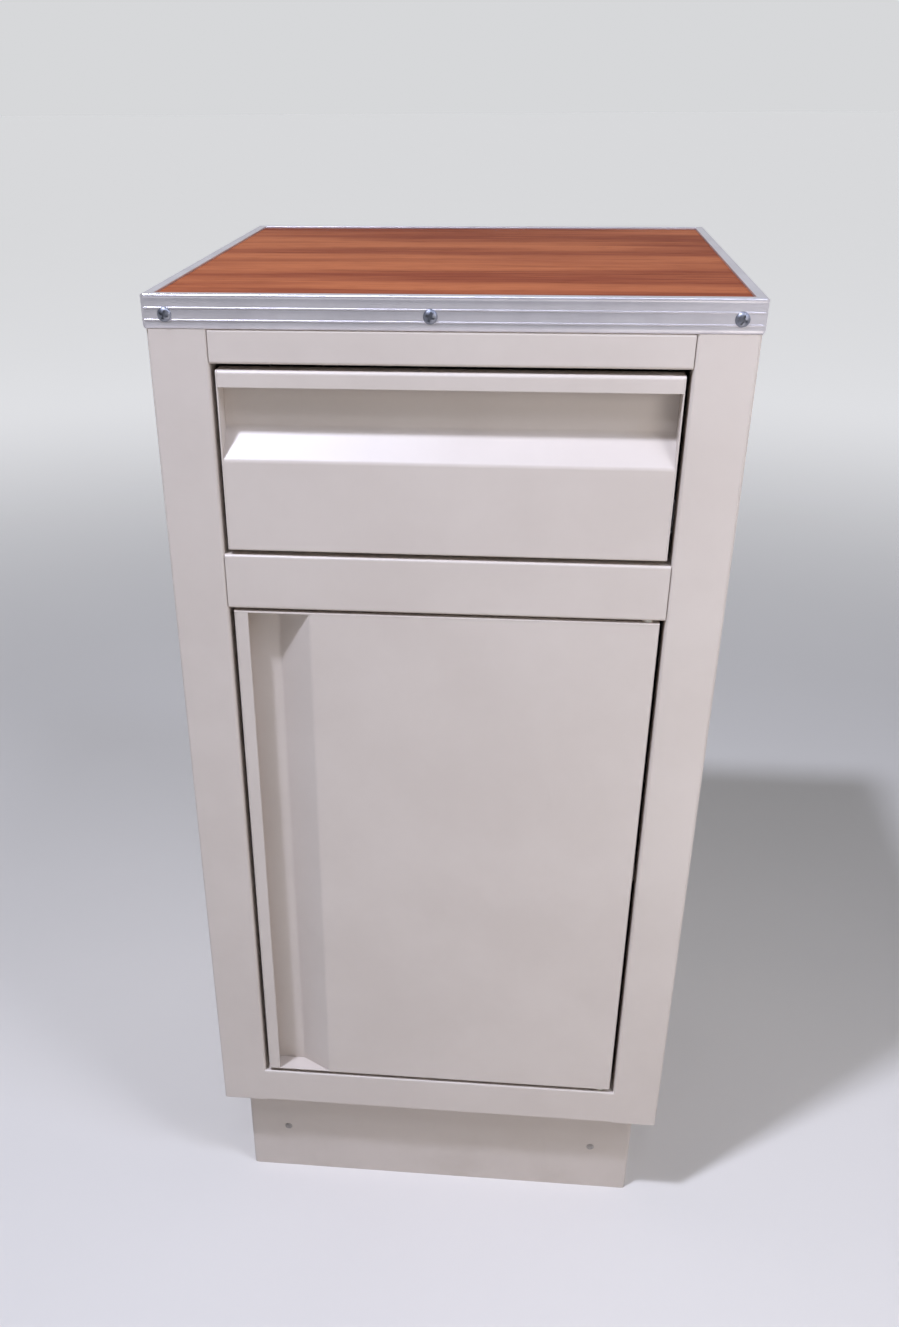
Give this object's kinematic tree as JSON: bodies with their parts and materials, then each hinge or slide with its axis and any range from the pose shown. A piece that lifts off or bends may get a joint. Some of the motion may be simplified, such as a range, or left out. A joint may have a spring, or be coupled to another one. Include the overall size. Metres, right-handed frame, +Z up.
{
  "type": "bedside cabinet",
  "caption": "Steel bedside cabinet on a recessed plinth, with a sliding drawer, a cupboard door on pivot pins, recessed finger pulls and a laminate top edged in ribbed aluminium.",
  "frame": {"origin": "middle of the footprint, on the floor", "axes": "+X to the right of someone facing the cabinet, +Y towards the back, +Z up; the front faces -Y"},
  "size_m": [0.407, 0.407, 0.808],
  "materials": {
    "powder_coat": "warm light grey powder coat, satin, on folded sheet steel",
    "edging_aluminium": "natural ribbed extrusion, fine lengthwise brushing",
    "zinc_steel": "bright zinc plated steel",
    "nylon": "natural nylon",
    "chipboard": "raw chipboard",
    "cherry_laminate": "satin red-brown cherry wood-grain laminate, grain along X",
    "painted_rivet": "steel rivet painted with the plinth, grey with dirt",
    "magnet": "dark ferrite magnet block"
  },
  "bodies": {
    "cabinet": {"left_side_panel": "powder_coat", "right_side_panel": "powder_coat", "back_panel": "powder_coat", "back_panel_rivets": "zinc_steel", "floor_pan": "powder_coat", "top_rail": "powder_coat", "mid_rail": "powder_coat", "bottom_rail": "powder_coat", "rear_top_rail": "powder_coat", "top_board": "chipboard", "top_laminate": "cherry_laminate", "edging_front": "edging_aluminium", "edging_rear": "edging_aluminium", "edging_left": "edging_aluminium", "edging_right": "edging_aluminium", "edging_screws": "zinc_steel", "top_fixing_screws": "zinc_steel", "plinth_front": "powder_coat", "plinth_rear": "powder_coat", "plinth_left": "powder_coat", "plinth_right": "powder_coat", "plinth_corner_brackets": "zinc_steel", "plinth_rivets": "painted_rivet", "shelf": "powder_coat", "shelf_studs": "zinc_steel", "left_runner_bracket": "zinc_steel", "right_runner_bracket": "zinc_steel", "left_cabinet_runner": "zinc_steel", "right_cabinet_runner": "zinc_steel", "runner_screws": "zinc_steel", "fixed_roller_pins": "zinc_steel", "upper_pivot_pin": "zinc_steel", "lower_pivot_pin": "zinc_steel", "pivot_washers": "nylon", "catch_housing": "nylon", "catch_magnet": "magnet", "catch_screws": "zinc_steel"},
    "drawer": {"drawer_front": "powder_coat", "drawer_front_cheeks": "powder_coat", "drawer_tray": "powder_coat", "left_drawer_runner": "zinc_steel", "right_drawer_runner": "zinc_steel", "drawer_runner_rivets": "zinc_steel", "riding_roller_pins": "zinc_steel"},
    "door": {"door_skin": "powder_coat", "door_end_plates": "powder_coat", "door_inner_panel": "powder_coat", "pivot_bushes": "nylon", "catch_strike": "zinc_steel"},
    "left_fixed_roller": {"left_fixed_roller": "nylon"},
    "right_fixed_roller": {"right_fixed_roller": "nylon"},
    "left_riding_roller": {"left_riding_roller": "nylon"},
    "right_riding_roller": {"right_riding_roller": "nylon"}
  },
  "joints": [
    {"name": "drawer_slide", "type": "slide", "parent": "cabinet", "child": "drawer", "axis": [0, -1, 0], "range_m": [0, 0.28]},
    {"name": "door_hinge", "type": "hinge", "parent": "cabinet", "child": "door", "pos_m": [0.147, -0.1935, 0.367], "axis": [0, 0, 1], "range_deg": [0, 110]},
    {"name": "left_fixed_roller_spin", "type": "hinge", "parent": "cabinet", "child": "left_fixed_roller", "pos_m": [-0.1534, -0.162, 0.661], "axis": [1, 0, 0], "range_deg": [0, 1700]},
    {"name": "right_fixed_roller_spin", "type": "hinge", "parent": "cabinet", "child": "right_fixed_roller", "pos_m": [0.1534, -0.162, 0.661], "axis": [1, 0, 0], "range_deg": [0, 1700]},
    {"name": "left_riding_roller_spin", "type": "hinge", "parent": "drawer", "child": "left_riding_roller", "pos_m": [-0.1534, 0.156, 0.661], "axis": [1, 0, 0], "range_deg": [0, 1700]},
    {"name": "right_riding_roller_spin", "type": "hinge", "parent": "drawer", "child": "right_riding_roller", "pos_m": [0.1534, 0.156, 0.661], "axis": [1, 0, 0], "range_deg": [0, 1700]}
  ],
  "couplings": [
    {"joint": "left_fixed_roller_spin", "follows": "drawer_slide", "rad_per_m": 105.26},
    {"joint": "right_fixed_roller_spin", "follows": "drawer_slide", "rad_per_m": 105.26},
    {"joint": "left_riding_roller_spin", "follows": "drawer_slide", "rad_per_m": 105.26},
    {"joint": "right_riding_roller_spin", "follows": "drawer_slide", "rad_per_m": 105.26}
  ]
}
